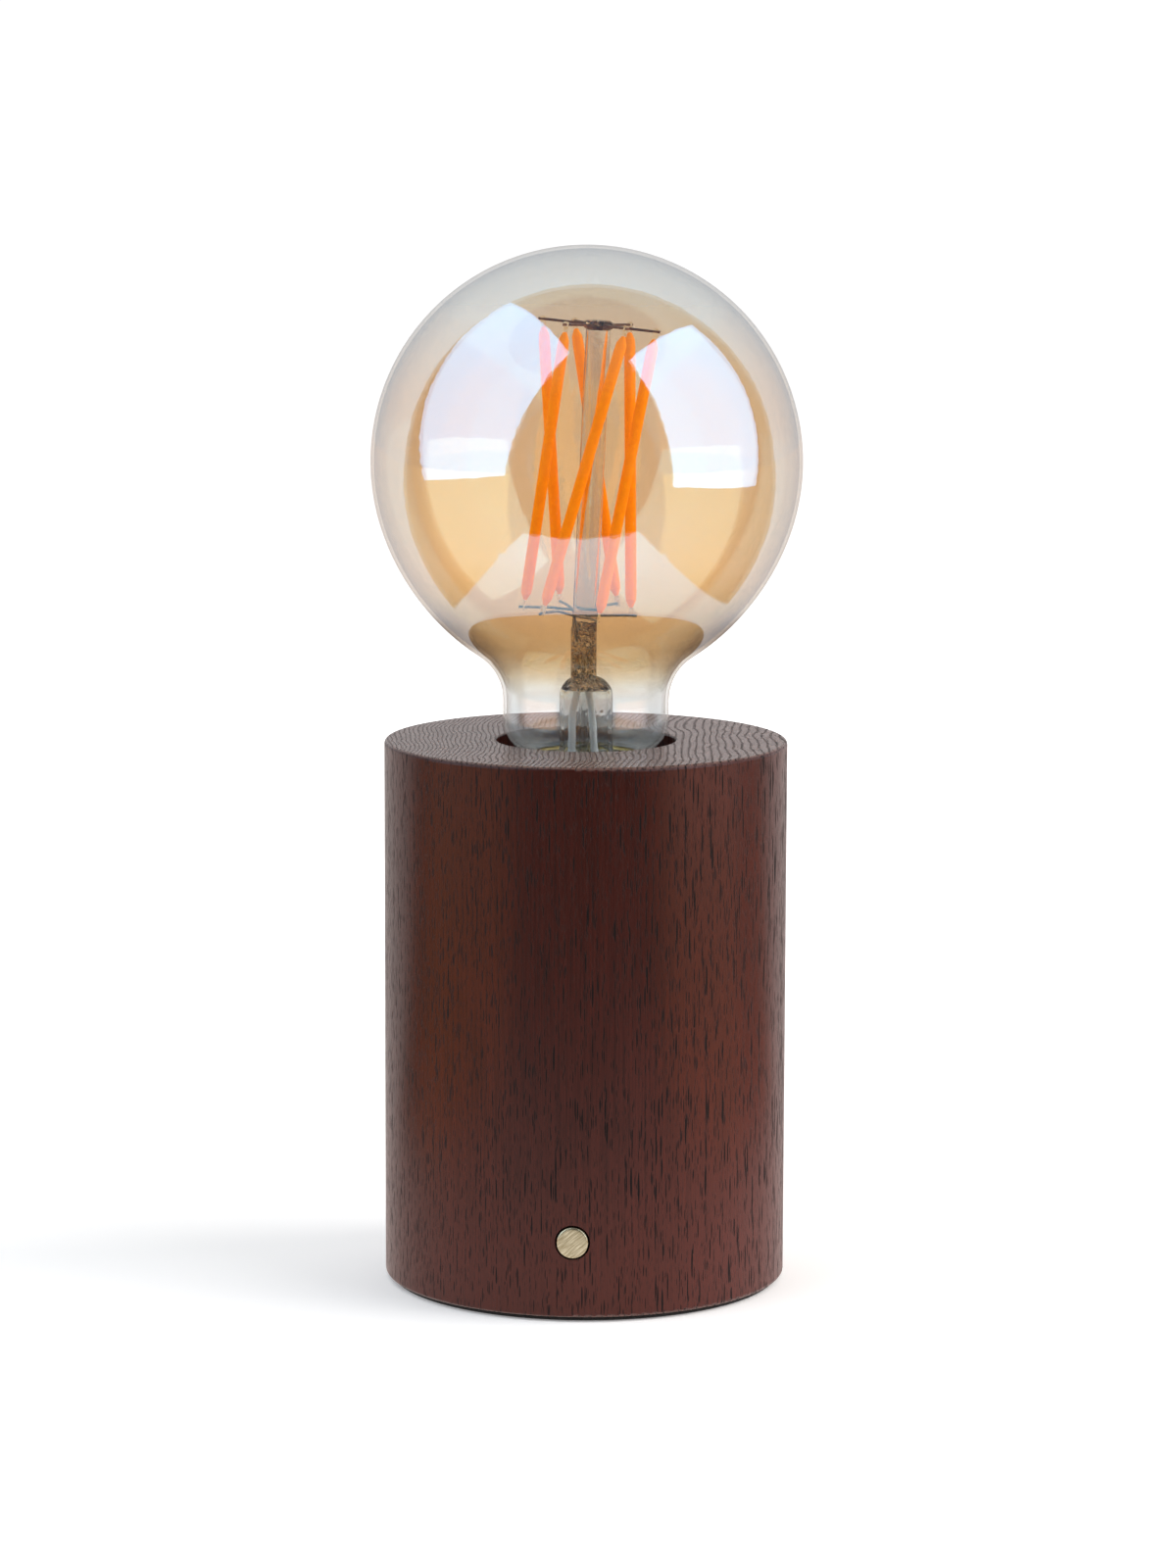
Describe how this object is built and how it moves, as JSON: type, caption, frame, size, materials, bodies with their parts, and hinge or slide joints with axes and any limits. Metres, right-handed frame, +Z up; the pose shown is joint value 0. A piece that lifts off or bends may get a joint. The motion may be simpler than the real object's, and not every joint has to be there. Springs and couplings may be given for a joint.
{
  "type": "bare bulb table lamp",
  "caption": "Turned wooden cylinder lamp base with a screw-in amber globe filament bulb standing bare in its top bore and a small round push button at the front.",
  "frame": {"origin": "middle of the underside of the non-slip pad, where the lamp stands", "axes": "+Z up along the axis of the base and the bulb; the button faces -Y and the cord inlet faces +Y; +X is to the right seen from the button's side"},
  "size_m": [0.0958, 0.0958, 0.232],
  "materials": {
    "stained_wood": "satin, dark red-brown stain with open pores",
    "black_board": "matt",
    "zinc_steel": "zinc plated",
    "foam_rubber": "matt foam",
    "black_thermoplastic": "moulded",
    "white_insulator": "moulded",
    "holder_brass": "rolled sheet",
    "brown_insulation": "extruded",
    "blue_insulation": "extruded",
    "board_laminate": "lacquered",
    "capacitor_can": "sleeved",
    "coil_copper": "enamelled windings",
    "component_black": "moulded",
    "block_plastic": "moulded",
    "spring_steel": "bright",
    "grommet_rubber": "moulded",
    "antique_brass": "brushed, bright bevel",
    "switch_plunger_plastic": "moulded",
    "contact_solder": "tinned",
    "amber_glass": "polished",
    "clear_glass": "polished",
    "bead_glass": "polished",
    "filament_coating": "silicone and phosphor",
    "filament_metal": "bright",
    "support_wire": "dull",
    "sleeve_fibre": "glass fibre",
    "cap_brass": "bright",
    "cap_glass_insulator": "vitrified",
    "cement": "matt"
  },
  "bodies": {
    "base": {"wood_body": "stained_wood", "bottom_plate": "black_board", "bottom_plate_screws": "zinc_steel", "non_slip_pad": "foam_rubber", "lampholder_shell": "black_thermoplastic", "lampholder_cap": "black_thermoplastic", "lampholder_insert": "white_insulator", "lampholder_thread_sleeve": "holder_brass", "lampholder_centre_contact": "holder_brass", "lampholder_side_contact": "holder_brass", "lampholder_terminal_screws": "zinc_steel", "threaded_nipple": "zinc_steel", "nipple_washer": "zinc_steel", "nipple_nut": "zinc_steel", "live_wire": "brown_insulation", "neutral_wire": "blue_insulation", "dimmer_case": "black_thermoplastic", "dimmer_case_lid": "black_thermoplastic", "dimmer_case_screws": "zinc_steel", "dimmer_lid_screws": "zinc_steel", "dimmer_board_screws": "zinc_steel", "dimmer_board": "board_laminate", "dimmer_capacitor": "capacitor_can", "dimmer_inductor": "coil_copper", "dimmer_triac": "component_black", "terminal_block": "block_plastic", "switch_housing": "component_black", "button_bushing": "black_thermoplastic", "button_spring": "spring_steel", "cord_grommet": "grommet_rubber"},
    "button": {"button_cap": "antique_brass", "button_stem": "spring_steel", "button_clip": "spring_steel", "switch_actuator": "switch_plunger_plastic"},
    "bulb_tip": {"bulb_centre_contact": "contact_solder"},
    "bulb": {"bulb_glass": "amber_glass", "bulb_stem": "clear_glass", "stem_bead": "bead_glass", "filament_1": "filament_coating", "filament_2": "filament_coating", "filament_3": "filament_coating", "filament_4": "filament_coating", "filament_5": "filament_coating", "filament_6": "filament_coating", "filament_tabs": "filament_metal", "upper_support_wires": "support_wire", "lower_support_wire_back": "support_wire", "lower_support_wire_front": "support_wire", "lead_in_wires": "support_wire", "lead_sleeves": "sleeve_fibre", "bulb_cap_shell": "cap_brass", "cap_insulator": "cap_glass_insulator", "cap_cement": "cement", "driver_board": "board_laminate", "driver_capacitor": "capacitor_can", "driver_rectifier": "component_black", "driver_wires": "brown_insulation"}
  },
  "joints": [
    {"name": "button_press", "type": "slide", "parent": "base", "child": "button", "axis": [0, 1, 0], "range_m": [0, 0.0012], "stiffness_N_per_m": 600, "springref_m": -0.001, "deforming": ["button_spring"]},
    {"name": "bulb_lift", "type": "slide", "parent": "base", "child": "bulb_tip", "axis": [0, 0, 1], "range_m": [0, 0.01452]},
    {"name": "bulb_turn", "type": "hinge", "parent": "bulb_tip", "child": "bulb", "pos_m": [0, 0, 0.105], "axis": [0, 0, 1], "range_deg": [0, 1440]}
  ],
  "couplings": [
    {"joint": "bulb_lift", "follows": "bulb_turn", "m_per_rad": 0.00057757}
  ]
}
